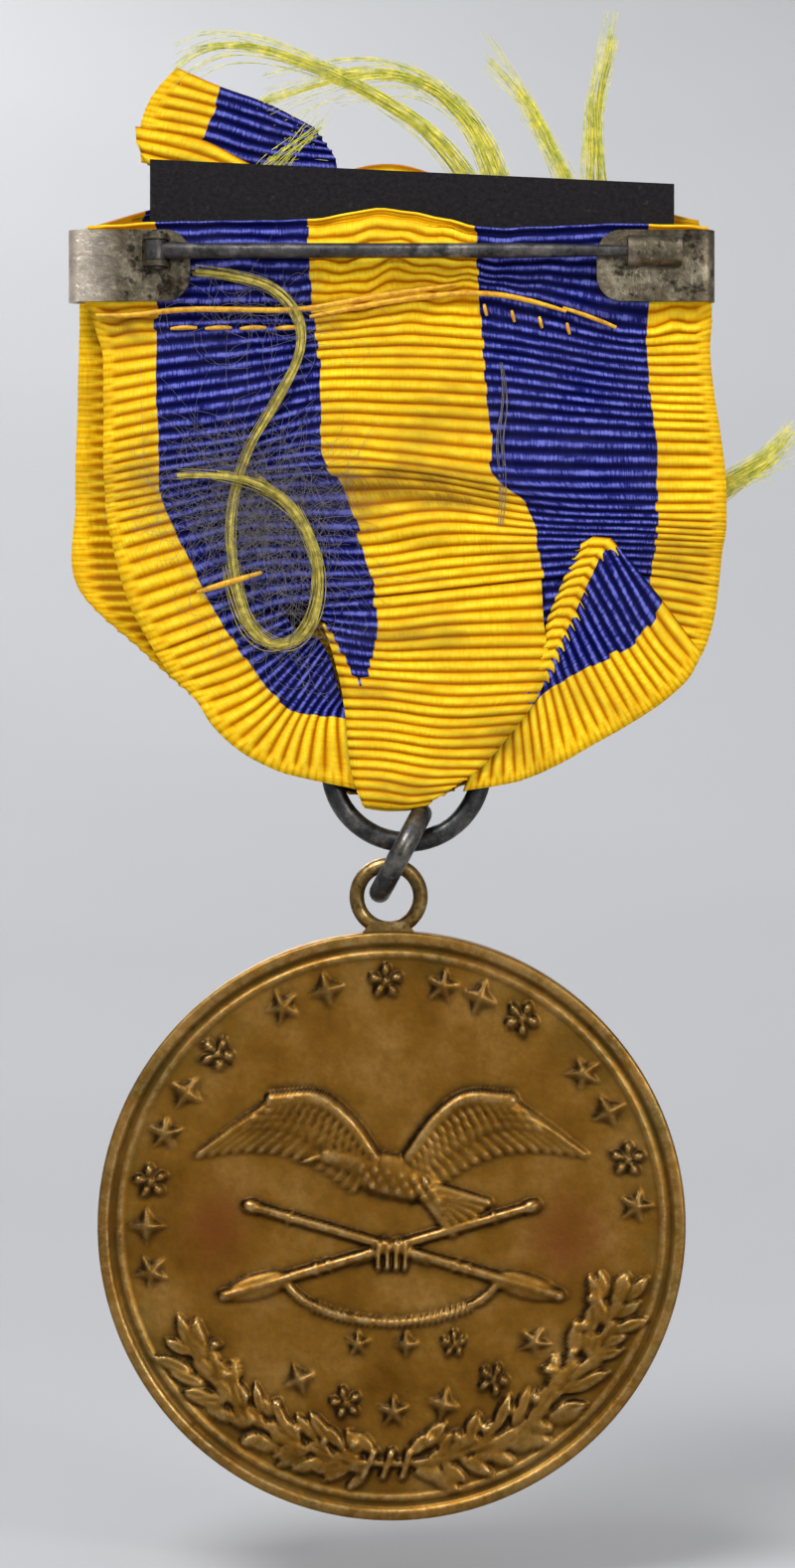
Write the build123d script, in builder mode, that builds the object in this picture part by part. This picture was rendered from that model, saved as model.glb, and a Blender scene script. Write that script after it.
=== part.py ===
from build123d import *
import math
import os

# A military service medal that hangs from a folded grosgrain ribbon, seen from its pin side.
# All dimensions are in millimetres. The medal hangs upright: +Z is up, +X runs along the pin
# towards its point, and the back of the medal, with the pin, faces -Y. The origin is on the
# pin's axis, half way along the brooch bar.

# Brooch bar: one strip of sheet metal whose two ends are bent round to the back as tabs.
BAR_LENGTH = 36.3
BAR_HEIGHT = 4.0
BAR_BOTTOM = -2.75
SHEET = 0.45
TAB_BACK_Y = 0.5
BAR_DEPTH = 1.45
LEFT_TAB_END = -11.3
RIGHT_TAB_END = 11.5
TAB_CORNER = 1.4

# Pin and its hinge. The axle stands upright, through two ears on the left tab.
HINGE_X = -13.2
EAR_GAP = 1.2
EAR_THICKNESS = 0.3
EAR_NOSE_RADIUS = 0.72
AXLE_RADIUS = 0.3
AXLE_SEAT_GAP = 0.02
AXLE_CLEARANCE = 0.05
HEAD_RADIUS = 0.45
HEAD_HEIGHT = 0.15
EYE_RADIUS = 0.62
EYE_HEIGHT = 1.1
PIN_ROOT_RADIUS = 0.54
PIN_ROOT_END = -10.6
PIN_RADIUS = 0.42
PIN_TAPER_START = 7.5
PIN_POINT_START = 12.6
PIN_POINT_RADIUS = 0.3
PIN_TIP_X = 15.6
PIN_TIP_RADIUS = 0.08

# Catch: a small arch over the pin's point, standing on the right tab.
CATCH_START = 13.2
CATCH_LENGTH = 3.0
CATCH_INNER_RADIUS = 0.55
CATCH_WALL = 0.3

# Ribbon. Both panels are the same strip, which runs down from the bar, through the big ring
# and up again. Depths are those of each layer's back face.
CLOTH = 0.35
BACK_PANEL_Y = 1.05
TURN_IN_Y = 2.05
FRONT_PANEL_Y = 2.75
FOLD_GAP = 0.9
RIBBON_TOP = 1.6

# Stiffener strip of black felted cloth, behind the ribbon's top fold.
STRIP_Y = 1.45
STRIP_THICKNESS = 0.55

# Metal below the ribbon. The rings share one mid-plane with the disc.
HANGER_Y = 2.08
RING_CENTRE = (0.83, HANGER_Y, -28.8)
RING_MEAN_RADIUS = 4.265
RING_WIRE_RADIUS = 0.575
LINK_CENTRE = (0.5, HANGER_Y, -33.7)
LINK_LEAN = 28
LINK_MEAN_RADIUS = 2.5
LINK_WIRE_RADIUS = 0.6
LOOP_CENTRE = (-0.17, HANGER_Y, -36.15)
LOOP_MEAN_RADIUS = 1.8
LOOP_WIRE_RADIUS = 0.42
FOOT_WIDTH = 3.8
FOOT_HEIGHT = 1.1
FOOT_DEPTH = 1.3

# Disc
DISC_CENTRE_Z = -54.6
DISC_RADIUS = 16.5
DISC_THICKNESS = 2.4
RIM_WIDTH = 0.75
RIM_HEIGHT = 0.25
FIELD_STEP = 0.12
FIELD_STEP_RADIUS = 15.1
SOLDER_GAP = 0.02

# Threads
STITCH_LENGTH = 1.5
STITCH_WIDTH = 0.28
STITCH_HEIGHT = 0.16
LOOSE_THREAD_RADIUS = 0.16
FRAY_Y = 2.9
FRAY_RADIUS = 0.35


def facing(depth):
    """Sketch plane parallel to the medal's face, seen from the back, at the given depth."""
    return Plane.XZ.offset(-depth)


def layer(points, depth, thickness):
    """Flat layer of cloth with the given outline, from its back face towards the front."""
    with BuildPart() as sheet:
        with BuildSketch(facing(depth)):
            with BuildLine():
                Polyline(*points, close=True)
            make_face()
        extrude(amount=-thickness)
    return sheet.part


def bend_radii(points):
    """Radius of each bend of a thread: as large as its two runs allow."""
    radii = []
    for before, corner, after in zip(points, points[1:], points[2:]):
        run_in = Vector(corner) - Vector(before)
        run_out = Vector(after) - Vector(corner)
        half_turn = math.radians(run_in.get_angle(run_out)) / 2
        radii.append(0.45 * min(run_in.length, run_out.length) / math.tan(half_turn))
    return radii


def thread(points, radius):
    """Round thread along a route of straight runs that are joined by tangent arcs."""
    with BuildPart() as tube:
        with BuildLine() as route:
            FilletPolyline(*points, radius=bend_radii(points))
        start = route.line @ 0
        with BuildSketch(Plane(origin=start, z_dir=route.line % 0)):
            Circle(radius)
        sweep()
    return tube.part


def wire_ring(centre, axis, mean_radius, wire_radius):
    """Closed ring of round wire."""
    with BuildPart(Plane(origin=centre, z_dir=axis)) as ring:
        Torus(mean_radius, wire_radius)
    return ring.part


def stitches(middles, length, slope):
    """Row of short stitches that lie on the back panel, each with its own slope."""
    with BuildPart() as row:
        for middle in middles:
            with BuildSketch(facing(BACK_PANEL_Y)):
                with Locations(middle):
                    SlotOverall(length, STITCH_WIDTH, rotation=slope(middle[0]))
            extrude(amount=STITCH_HEIGHT)
    return row.part


def save(part, name):
    """Label one finished piece and write its file."""
    part.label = name
    export_step(part, "parts/" + name + ".step")
    print(name, round(part.volume, 2), "mm3")


os.makedirs("parts", exist_ok=True)

# Brooch bar: a flattened loop of sheet, open at the back between its two tabs.
bar_middle_y = TAB_BACK_Y + BAR_DEPTH / 2
gap_length = RIGHT_TAB_END - LEFT_TAB_END
gap_middle_x = (RIGHT_TAB_END + LEFT_TAB_END) / 2
ear_bottoms = (EAR_GAP / 2, -EAR_GAP / 2 - EAR_THICKNESS)
with BuildPart() as brooch_bar:
    with BuildSketch(Plane.XY.offset(BAR_BOTTOM)):
        with Locations((0, bar_middle_y)):
            SlotOverall(BAR_LENGTH, BAR_DEPTH)
            SlotOverall(BAR_LENGTH - 2 * SHEET, BAR_DEPTH - 2 * SHEET, mode=Mode.SUBTRACT)
        with Locations((gap_middle_x, TAB_BACK_Y + SHEET / 2)):
            Rectangle(gap_length, 1.1 * SHEET, mode=Mode.SUBTRACT)
    extrude(amount=BAR_HEIGHT)
    fillet(brooch_bar.edges().filter_by(Axis.Y), TAB_CORNER)
    # window in the left tab that lets the pin's eye turn
    with BuildSketch(facing(TAB_BACK_Y)):
        with Locations((HINGE_X, 0)):
            Rectangle(2 * EYE_RADIUS + 0.3, EAR_GAP)
    extrude(amount=-SHEET, mode=Mode.SUBTRACT)
    # ears, with a hole each for the axle
    for bottom in ear_bottoms:
        with BuildSketch(Plane.XY.offset(bottom)):
            with Locations((HINGE_X, 0)):
                Circle(EAR_NOSE_RADIUS)
            with Locations((HINGE_X, TAB_BACK_Y / 2)):
                Rectangle(2 * EAR_NOSE_RADIUS, TAB_BACK_Y)
            with Locations((HINGE_X, EAR_NOSE_RADIUS + TAB_BACK_Y)):
                Rectangle(2 * EAR_NOSE_RADIUS + 1, 2 * EAR_NOSE_RADIUS, mode=Mode.SUBTRACT)
            with Locations((HINGE_X, 0)):
                Circle(AXLE_RADIUS + AXLE_SEAT_GAP, mode=Mode.SUBTRACT)
        extrude(amount=EAR_THICKNESS)
save(brooch_bar.part, "brooch_bar")

# Hinge axle: a rivet with a flat head at each end.
axle_half = EAR_GAP / 2 + EAR_THICKNESS
with BuildPart() as hinge_axle:
    with BuildSketch(Plane.XY.offset(-axle_half)):
        with Locations((HINGE_X, 0)):
            Circle(AXLE_RADIUS)
    extrude(amount=2 * axle_half)
    for head_bottom in (axle_half, -axle_half - HEAD_HEIGHT):
        with BuildSketch(Plane.XY.offset(head_bottom)):
            with Locations((HINGE_X, 0)):
                Circle(HEAD_RADIUS)
        extrude(amount=HEAD_HEIGHT)
save(hinge_axle.part, "hinge_axle")

# Pin stem: an eye round the axle, and a round wire that thins towards its point.
with BuildPart() as pin_stem:
    with BuildSketch(Plane.XZ):
        with BuildLine():
            Polyline(
                (HINGE_X, 0),
                (HINGE_X, PIN_ROOT_RADIUS),
                (PIN_ROOT_END, PIN_RADIUS),
                (PIN_TAPER_START, PIN_RADIUS),
                (PIN_POINT_START, PIN_POINT_RADIUS),
                (PIN_POINT_START, 0),
                close=True,
            )
        make_face()
    revolve(axis=Axis.X)
    with BuildSketch(Plane.XY.offset(-EYE_HEIGHT / 2)):
        with Locations((HINGE_X, 0)):
            Circle(EYE_RADIUS)
    extrude(amount=EYE_HEIGHT)
    with BuildSketch(Plane.XY.offset(-EYE_HEIGHT)):
        with Locations((HINGE_X, 0)):
            Circle(AXLE_RADIUS + AXLE_CLEARANCE)
    extrude(amount=2 * EYE_HEIGHT, mode=Mode.SUBTRACT)
save(pin_stem.part, "pin_stem")

# Pin point: the springy end of the wire, which lies under the catch.
with BuildPart() as pin_point:
    with BuildSketch(Plane.XZ):
        with BuildLine():
            Polyline(
                (PIN_POINT_START, 0),
                (PIN_POINT_START, PIN_POINT_RADIUS),
                (PIN_TIP_X, PIN_TIP_RADIUS),
                (PIN_TIP_X, 0),
                close=True,
            )
        make_face()
    revolve(axis=Axis.X)
save(pin_point.part, "pin_point")

# Catch: an arch with straight legs that stand on the right tab.
catch_outer = CATCH_INNER_RADIUS + CATCH_WALL
with BuildPart() as catch:
    with BuildSketch(Plane.YZ.offset(CATCH_START)):
        Circle(catch_outer)
        with Locations((TAB_BACK_Y / 2, 0)):
            Rectangle(TAB_BACK_Y, 2 * catch_outer)
        Circle(CATCH_INNER_RADIUS, mode=Mode.SUBTRACT)
        with Locations((catch_outer / 2, 0)):
            Rectangle(catch_outer, 2 * CATCH_INNER_RADIUS, mode=Mode.SUBTRACT)
        with Locations((TAB_BACK_Y + catch_outer, 0)):
            Rectangle(2 * catch_outer, 3 * catch_outer, mode=Mode.SUBTRACT)
    extrude(amount=CATCH_LENGTH)
save(catch.part, "catch")

# Ribbon: outlines in (x, z). The back panel stops just above the big ring, and the gathered
# fold below it moves with the ring.
panel_bottom = -23.3
fold_top = panel_bottom - FOLD_GAP
right_edge = [(16.6, panel_bottom), (18.1, -19.3), (18.6, -12.6), (18.0, -4.6), (17.3, -2.8)]
back_left_edge = [(-17.3, -3.2), (-16.7, -12.6), (-14.7, -19.3), (-11.7, panel_bottom)]
front_left_edge = [(-17.4, -3.2), (-17.8, -12.6), (-17.4, -19.3), (-14.4, -22.2)]
back_top = [(17.3, 1.3), (4.8, 1.6), (0.0, 2.45), (-4.7, 1.6), (-17.3, 1.3)]
front_top = [(17.3, RIBBON_TOP), (-17.3, RIBBON_TOP)]
front_left_corner = [(-11.7, panel_bottom)]
fold_outline = [
    (-11.2, fold_top),
    (-10.2, -26.0),
    (-2.7, -29.7),
    (-1.4, -30.7),
    (1.2, -30.7),
    (4.8, -29.9),
    (15.7, fold_top),
]
tail_outline = [
    (-14.2, RIBBON_TOP),
    (-14.4, 5.6),
    (-12.6, 10.7),
    (-9.7, 9.9),
    (-2.0, 5.7),
    (-1.4, RIBBON_TOP),
]
back_outline = right_edge + back_top + back_left_edge
front_outline = right_edge + front_top + front_left_edge + front_left_corner
save(layer(back_outline, BACK_PANEL_Y, CLOTH), "ribbon_back")
save(layer(front_outline, FRONT_PANEL_Y, CLOTH), "ribbon_front")
save(layer(fold_outline, BACK_PANEL_Y, CLOTH), "ribbon_fold_back")
save(layer(fold_outline, FRONT_PANEL_Y, CLOTH), "ribbon_fold_front")
save(layer(tail_outline, FRONT_PANEL_Y, CLOTH), "ribbon_tail")

# The end of the ribbon that is turned in behind the bar and sewn down.
turn_in_outline = [(-17.0, -4.5), (17.0, -4.5), (17.0, 1.3), (-17.0, 1.3)]
save(layer(turn_in_outline, TURN_IN_Y, CLOTH), "ribbon_turn_in")

# The bend of the fold, where the ribbon passes through the big ring.
bend_outline = [(-1.3, -30.2), (1.6, -30.2), (1.6, -29.9), (-1.3, -29.9)]
bend_depth = FRONT_PANEL_Y - BACK_PANEL_Y - CLOTH
save(layer(bend_outline, BACK_PANEL_Y + CLOTH, bend_depth), "ribbon_fold_bend")

# Stiffener strip, a little out of level.
strip_outline = [(-13.6, 1.4), (15.9, 1.4), (15.9, 3.95), (-13.6, 5.34)]
save(layer(strip_outline, STRIP_Y, STRIP_THICKNESS), "stiffener_strip")

# Stitching on the back panel, below the bar. The right half of each row is pulled out of line.
left_row = [-12.6 + 2.0 * i for i in range(5)]
upper_middles = [(x, -3.25) for x in left_row]
upper_middles += [(6.0 + 2.1 * i, -2.6 - 0.5 * i) for i in range(5)]
lower_middles = [(x + 0.4, -4.3) for x in left_row]
lower_middles += [(5.6 + 1.6 * i, -3.6 - 0.4 * i) for i in range(4)]
save(stitches(upper_middles, STITCH_LENGTH, lambda x: -13 if x > 0 else 2), "stitch_row_upper")
save(stitches(lower_middles, 0.8 * STITCH_LENGTH, lambda x: -13 if x > 0 else 0), "stitch_row_lower")

# Loose thread: it lies in a long open loop on the back panel and crosses over itself once.
loose_route = [
    (-11.0, 0.68, -1.05),
    (-8.2, 0.68, -1.3),
    (-5.7, 0.68, -2.5),
    (-4.7, 0.67, -5.0),
    (-6.3, 0.68, -8.2),
    (-8.2, 0.69, -11.2),
    (-9.1, 0.68, -14.8),
    (-8.9, 0.7, -17.6),
    (-8.4, 0.68, -20.3),
    (-6.9, 0.66, -22.2),
    (-5.0, 0.68, -21.8),
    (-4.0, 0.67, -19.6),
    (-4.1, 0.65, -16.8),
    (-5.4, 0.6, -14.3),
    (-7.4, 0.32, -12.9),
    (-9.8, 0.3, -12.45),
    (-12.0, 0.62, -12.5),
]
loose_thread = thread(loose_route, LOOSE_THREAD_RADIUS)
print("loose thread radii", [round(radius, 2) for radius in bend_radii(loose_route)])
print("loose thread length", round(loose_thread.volume / (math.pi * LOOSE_THREAD_RADIUS**2), 2))
save(loose_thread, "loose_thread")

# Frays: the threads of the ribbon's torn end, standing up behind the stiffener strip.
arc_route = [
    (-12.2, FRAY_Y, 11.2),
    (-8.9, FRAY_Y, 12.5),
    (-4.0, FRAY_Y, 10.8),
    (1.2, FRAY_Y, 9.6),
    (4.9, FRAY_Y, 7.3),
    (6.3, FRAY_Y, 3.4),
]
centre_route = [
    (-5.4, FRAY_Y, 8.9),
    (-2.4, FRAY_Y + 0.05, 9.3),
    (0.4, FRAY_Y + 0.1, 6.7),
    (2.6, FRAY_Y + 0.1, 3.4),
]
right_routes = [
    [(11.6, FRAY_Y, 3.0), (11.5, FRAY_Y, 7.6), (13.0, FRAY_Y, 12.9)],
    [(9.9, FRAY_Y, 3.0), (8.6, FRAY_Y, 7.6), (5.9, FRAY_Y, 10.7)],
]
side_route = [
    (17.9, FRAY_Y + 0.7, -13.6),
    (19.9, FRAY_Y + 0.7, -12.1),
    (22.9, FRAY_Y + 0.7, -9.6),
]
save(thread(arc_route, FRAY_RADIUS), "fray_arc")
save(thread(centre_route, FRAY_RADIUS), "fray_centre")
for side, route in zip(("right", "leaning"), right_routes):
    save(thread(route, FRAY_RADIUS), "fray_" + side)
save(thread(side_route, FRAY_RADIUS), "fray_side")

# Big ring, connecting link, and the disc's loop with its foot.
link_axis = (math.cos(math.radians(LINK_LEAN)), 0, -math.sin(math.radians(LINK_LEAN)))
disc_centre = (0, HANGER_Y, DISC_CENTRE_Z)
save(wire_ring(RING_CENTRE, (0, 1, 0), RING_MEAN_RADIUS, RING_WIRE_RADIUS), "suspension_ring")
save(wire_ring(LINK_CENTRE, link_axis, LINK_MEAN_RADIUS, LINK_WIRE_RADIUS), "connecting_link")

foot_top = DISC_CENTRE_Z + DISC_RADIUS + FOOT_HEIGHT / 2
loop_x = LOOP_CENTRE[0]
with BuildPart() as medal_loop:
    with BuildSketch(Plane.XZ.offset(-HANGER_Y)):
        with BuildLine():
            Polyline(
                (loop_x - FOOT_WIDTH / 2, foot_top - FOOT_HEIGHT),
                (loop_x + FOOT_WIDTH / 2, foot_top - FOOT_HEIGHT),
                (loop_x + FOOT_WIDTH / 4, foot_top),
                (loop_x - FOOT_WIDTH / 4, foot_top),
                close=True,
            )
        make_face()
    extrude(amount=FOOT_DEPTH / 2, both=True)
    with Locations(Plane(origin=LOOP_CENTRE, z_dir=(0, 1, 0))):
        Torus(LOOP_MEAN_RADIUS, LOOP_WIRE_RADIUS)
    # hollow that seats the foot on the disc's edge
    with BuildSketch(Plane.XZ.offset(-HANGER_Y)):
        with Locations((0, DISC_CENTRE_Z)):
            Circle(DISC_RADIUS + SOLDER_GAP)
    extrude(amount=2 * FOOT_DEPTH, both=True, mode=Mode.SUBTRACT)
save(medal_loop.part, "medal_loop")

# Disc: the same rim and stepped field on both faces.
half = DISC_THICKNESS / 2
with BuildPart() as medal_disc:
    with BuildSketch(Plane(origin=disc_centre, x_dir=(1, 0, 0), z_dir=(0, 0, 1))):
        with BuildLine():
            Polyline(
                (0, -half),
                (FIELD_STEP_RADIUS, -half),
                (FIELD_STEP_RADIUS + FIELD_STEP, -half - FIELD_STEP),
                (DISC_RADIUS - RIM_WIDTH, -half - FIELD_STEP),
                (DISC_RADIUS - RIM_WIDTH, -half - RIM_HEIGHT),
                (DISC_RADIUS, -half - RIM_HEIGHT),
                (DISC_RADIUS, half + RIM_HEIGHT),
                (DISC_RADIUS - RIM_WIDTH, half + RIM_HEIGHT),
                (DISC_RADIUS - RIM_WIDTH, half + FIELD_STEP),
                (FIELD_STEP_RADIUS + FIELD_STEP, half + FIELD_STEP),
                (FIELD_STEP_RADIUS, half),
                (0, half),
                close=True,
            )
        make_face()
    revolve(axis=Axis(disc_centre, (0, 1, 0)))
save(medal_disc.part, "medal_disc")
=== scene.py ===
"""Looks of a pin-back service medal: ribbed silk ribbon, struck bronze disc, tarnished fittings.

Places are in millimetres in the frame of the CAD model: +X along the pin, +Z up, -Y the pin side.
"""
import math
import random

import bpy
import numpy as np
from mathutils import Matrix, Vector


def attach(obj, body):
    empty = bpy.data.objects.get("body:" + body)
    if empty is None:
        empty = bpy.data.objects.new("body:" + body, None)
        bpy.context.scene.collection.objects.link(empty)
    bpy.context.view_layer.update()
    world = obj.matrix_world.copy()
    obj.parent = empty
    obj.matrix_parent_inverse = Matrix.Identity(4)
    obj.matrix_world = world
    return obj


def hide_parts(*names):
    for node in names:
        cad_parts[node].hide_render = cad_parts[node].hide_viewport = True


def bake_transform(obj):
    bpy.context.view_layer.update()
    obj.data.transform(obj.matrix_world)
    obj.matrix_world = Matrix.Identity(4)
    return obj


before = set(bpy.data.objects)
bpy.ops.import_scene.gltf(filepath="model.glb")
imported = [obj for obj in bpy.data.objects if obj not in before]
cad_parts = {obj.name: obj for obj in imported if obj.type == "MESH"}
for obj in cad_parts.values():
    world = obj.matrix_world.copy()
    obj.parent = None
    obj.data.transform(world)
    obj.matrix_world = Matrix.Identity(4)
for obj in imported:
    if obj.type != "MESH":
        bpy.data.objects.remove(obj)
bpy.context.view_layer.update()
MM = 0.001


# ---------------------------------------------------------------- curves and small helpers

def hermite(knots, values, at):
    """A smooth cubic through values at knots, read at the places in at (along axis 0)."""
    knots = np.asarray(knots, float)
    values = np.asarray(values, float)
    at = np.asarray(at, float)
    shape = (-1,) + (1,) * (values.ndim - 1)
    gap = np.diff(knots).reshape(shape)
    slope = np.diff(values, axis=0) / gap
    tangent = np.empty_like(values)
    tangent[0] = slope[0]
    tangent[-1] = slope[-1]
    tangent[1:-1] = (slope[:-1] * gap[1:] + slope[1:] * gap[:-1]) / (gap[:-1] + gap[1:])
    low = np.clip(np.searchsorted(knots, at, side="right") - 1, 0, len(knots) - 2)
    width = gap[low]
    f = (at - knots[low]).reshape(shape) / width
    return (
        (2 * f**3 - 3 * f**2 + 1) * values[low]
        + (f**3 - 2 * f**2 + f) * width * tangent[low]
        + (3 * f**2 - 2 * f**3) * values[low + 1]
        + (f**3 - f**2) * width * tangent[low + 1]
    )


def lattice_noise(points, size, seed):
    """Smooth noise of -1 to 1 at points, with features of about that size."""
    rng = np.random.default_rng(seed)
    total = np.zeros(len(points))
    for _ in range(8):
        direction = rng.normal(size=points.shape[1])
        direction /= np.linalg.norm(direction)
        rate = rng.uniform(0.7, 1.6) * 2 * math.pi / size
        total += np.sin(points @ direction * rate + rng.uniform(0, 2 * math.pi))
    return total / 4


def hump(away, width):
    """1 in the middle of a bump, falling softly to nothing a few widths away."""
    return np.exp(-(away / width) ** 2)


def round_top(*shares):
    """1 in the middle of a shape, falling like a circle to 0 where the shares reach 1."""
    return np.sqrt(np.clip(1 - sum(share**2 for share in shares), 0, 1))


def grid_faces(index):
    """Quads between the points of a grid of point numbers."""
    corners = index[:-1, :-1], index[1:, :-1], index[1:, 1:], index[:-1, 1:]
    return np.stack(corners, axis=-1).reshape(-1, 4)


def in_scene(name, data):
    obj = bpy.data.objects.new(name, data)
    bpy.context.scene.collection.objects.link(obj)
    return obj


def new_object(name, points, faces, material, **point_values):
    """A smooth mesh object from points in millimetres, with the numbers its material reads."""
    mesh = bpy.data.meshes.new(name)
    mesh.from_pydata((np.asarray(points) * MM).tolist(), [], [list(face) for face in faces])
    mesh.materials.append(material)
    mesh.polygons.foreach_set("use_smooth", [True] * len(mesh.polygons))
    mesh.update()
    for key, numbers in point_values.items():
        layer = mesh.attributes.new(key, "FLOAT", "POINT")
        layer.data.foreach_set("value", numbers.astype(np.float32))
    return in_scene(name, mesh)


# ---------------------------------------------------------------- materials

class Shader:
    """A material with one Principled shader, and short names for the nodes that feed it."""

    def __init__(self, name, **constants):
        self.material = bpy.data.materials.new(name)
        self.material.use_nodes = True
        self.tree = self.material.node_tree
        self.tree.nodes.clear()
        output = self.tree.nodes.new("ShaderNodeOutputMaterial")
        self.principled = self.tree.nodes.new("ShaderNodeBsdfPrincipled")
        self.tree.links.new(self.principled.outputs[0], output.inputs[0])
        for socket, value in constants.items():
            self.principled.inputs[socket.replace("_", " ")].default_value = value
        self.place = self.node("TexCoord").outputs["Object"]

    def node(self, kind, **settings):
        made = self.tree.nodes.new("ShaderNode" + kind)
        for key, value in settings.items():
            setattr(made, key, value)
        return made

    def feed(self, socket, value):
        if isinstance(value, bpy.types.NodeSocket):
            self.tree.links.new(value, socket)
        else:
            socket.default_value = value

    def math(self, operation, a, b=0.0, clamp=False):
        made = self.node("Math", operation=operation, use_clamp=clamp)
        for socket, value in zip(made.inputs, (a, b)):
            self.feed(socket, value)
        return made.outputs[0]

    def times(self, a, b, clamp=False):
        return self.math("MULTIPLY", a, b, clamp)

    def blend(self, a, share_a, b, share_b):
        return self.math("ADD", self.times(a, share_a), self.times(b, share_b))

    def noise(self, scale, detail=3.0, roughness=0.55, vector=None, stretch=None):
        made = self.node("TexNoise")
        place = vector or self.place
        if stretch:
            mapping = self.node("Mapping")
            mapping.inputs["Scale"].default_value = stretch
            self.feed(mapping.inputs["Vector"], place)
            place = mapping.outputs[0]
        self.feed(made.inputs["Vector"], place)
        made.inputs["Scale"].default_value = scale
        made.inputs["Detail"].default_value = detail
        made.inputs["Roughness"].default_value = roughness
        return made.outputs["Fac"]

    def ramp(self, value, stops):
        made = self.node("ValToRGB")
        elements = made.color_ramp.elements
        for place, color in stops[2:]:
            elements.new(place)
        for element, (place, color) in zip(elements, sorted(stops)):
            element.position = place
            element.color = (*color, 1.0)
        self.feed(made.inputs[0], value)
        return made.outputs[0]

    def level(self, value, low, high, out_low=0.0, out_high=1.0):
        made = self.node("MapRange", clamp=True)
        for socket, number in zip(made.inputs, (value, low, high, out_low, out_high)):
            self.feed(socket, number)
        return made.outputs[0]

    def mix(self, share, a, b):
        made = self.node("Mix", data_type="RGBA")
        self.feed(made.inputs[0], share)
        for socket, value in ((made.inputs[6], a), (made.inputs[7], b)):
            if not isinstance(value, bpy.types.NodeSocket):
                value = (*value, 1.0)
            self.feed(socket, value)
        return made.outputs[2]

    def attribute(self, name):
        return self.node("Attribute", attribute_name=name).outputs["Fac"]

    def bump(self, height, depth_mm):
        made = self.node("Bump")
        made.inputs["Strength"].default_value = 1.0
        made.inputs["Distance"].default_value = depth_mm * MM
        self.feed(made.inputs["Height"], height)
        return made.outputs[0]

    def finish(self, color=None, roughness=None, normal=None):
        inputs = self.principled.inputs
        for name, value in (("Base Color", color), ("Roughness", roughness), ("Normal", normal)):
            if value is not None:
                self.feed(inputs[name], value)
        return self.material


def worn_metal(name, dark, middle, bright, darkening, pits_mm=0.02, highlight_end=None):
    """Tarnished metal: blotched tone, dark grime, pits and fine scratches, and, when an end span along x is
    given, a patchy painted highlight over that end.
    """
    shader = Shader(name, Metallic=0.9)
    blotch = shader.noise(420, detail=6, roughness=0.6)
    fine = shader.noise(2600, detail=4, roughness=0.7)
    tone = shader.blend(blotch, 0.7, fine, 0.3)
    color = shader.ramp(tone, [(0.34, dark), (0.66, bright), (0.51, middle)])
    spots = shader.level(shader.noise(1100, detail=5, roughness=0.7), 0.52, 0.62)
    color = shader.mix(shader.times(spots, darkening), color, tuple(c * 0.25 for c in dark))
    # Painted highlight: patches of lighter metal towards the given end along x, standing in for light caught
    # on a bend.
    if highlight_end:
        place = shader.node("SeparateXYZ")
        shader.feed(place.inputs[0], shader.place)
        end_highlight = shader.level(place.outputs[0], highlight_end[0] * MM, highlight_end[1] * MM, 0.8, 0.0)
        end_highlight = shader.times(end_highlight, shader.level(tone, 0.35, 0.6, 0.3, 1.0))
        color = shader.mix(end_highlight, color, (0.76, 0.66, 0.54))
    scratches = shader.noise(900, detail=2, stretch=(0.15, 1.0, 1.6))
    relief = shader.math("ADD", fine, shader.times(scratches, 0.6))
    return shader.finish(color, shader.level(tone, 0.3, 0.7, 0.55, 0.3), shader.bump(relief, pits_mm))


# The bar's left bend, x from -17.6 to -15.2 mm, carries the painted highlight.
BAR_METAL = worn_metal(
    "bar_metal", (0.035, 0.028, 0.018), (0.125, 0.102, 0.066), (0.36, 0.31, 0.22), 0.85,
    pits_mm=0.07, highlight_end=(-17.6, -15.2),
)
PIN_METAL = worn_metal("pin_metal", (0.03, 0.028, 0.028), (0.085, 0.08, 0.078), (0.24, 0.22, 0.2), 0.6)
RING_METAL = worn_metal("ring_metal", (0.02, 0.02, 0.021), (0.06, 0.06, 0.06), (0.2, 0.18, 0.15), 0.5)
LOOP_METAL = worn_metal("loop_metal", (0.06, 0.035, 0.01), (0.24, 0.15, 0.045), (0.62, 0.44, 0.2), 0.6)


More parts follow.
